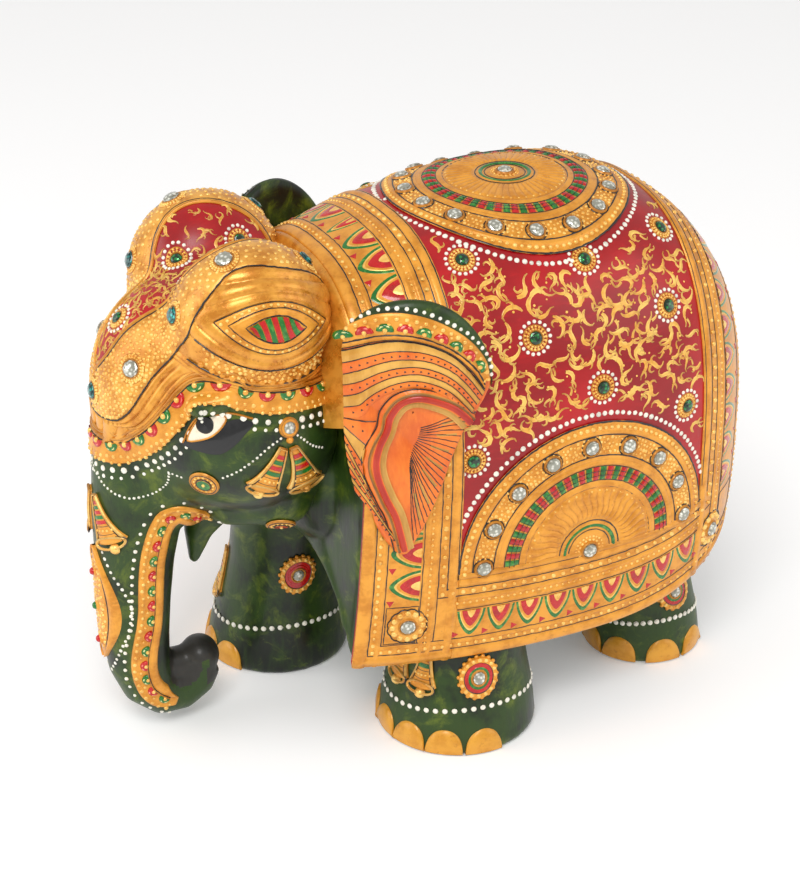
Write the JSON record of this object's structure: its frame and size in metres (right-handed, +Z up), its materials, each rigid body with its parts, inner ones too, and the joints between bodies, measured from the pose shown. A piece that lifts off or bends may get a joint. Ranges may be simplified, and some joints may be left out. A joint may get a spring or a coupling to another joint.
{
  "type": "carved elephant figurine",
  "caption": "Standing carved and painted wooden elephant with a saddle cloth, headdress, raised gilt relief and set stones.",
  "frame": {"origin": "on the ground, under the middle of the bounding box", "axes": "+Z up, the head faces -Y, +X is the elephant's left side"},
  "size_m": [0.151, 0.2695, 0.2118],
  "materials": {
    "green_wood": "dark mottled green paint under gloss lacquer, on carved wood",
    "ear_wood": "orange and gold striped paint under gloss lacquer, on carved wood",
    "red_lacquer": "deep red gloss lacquer with fine gold strokes, on carved wood",
    "gold_relief": "raised paste relief painted gold with red, green and black lines",
    "clear_stone": "small clear cut glass stones",
    "green_stone": "small green cut glass stones",
    "teal_stone": "small teal cut glass stones"
  },
  "bodies": {
    "root": {"body_carving": "green_wood", "head_carving": "green_wood", "ear_left": "ear_wood", "ear_right": "ear_wood", "tail": "green_wood", "saddle_cloth": "red_lacquer", "cloth_border_front": "gold_relief", "cloth_border_rear": "gold_relief", "cloth_border_hem_left": "gold_relief", "cloth_border_hem_right": "gold_relief", "top_medallion": "gold_relief", "side_medallion_left": "gold_relief", "side_medallion_right": "gold_relief", "headdress_field": "red_lacquer", "headdress_bands": "gold_relief", "brow_band": "gold_relief", "temple_panel_left": "gold_relief", "temple_panel_right": "gold_relief", "cheek_bells_left": "gold_relief", "cheek_bells_right": "gold_relief", "cheek_medals": "gold_relief", "trunk_band_left": "gold_relief", "trunk_band_right": "gold_relief", "trunk_plaque": "gold_relief", "leg_rosettes": "gold_relief", "leg_bells": "gold_relief", "clear_stones_top": "clear_stone", "clear_stones_left": "clear_stone", "clear_stones_right": "clear_stone", "green_stones_left": "green_stone", "green_stones_right": "green_stone", "headdress_stones_green": "green_stone", "headdress_stones_teal": "teal_stone", "headdress_stones_clear": "clear_stone", "leg_stones": "clear_stone", "bell_stones": "clear_stone"}
  },
  "joints": []
}
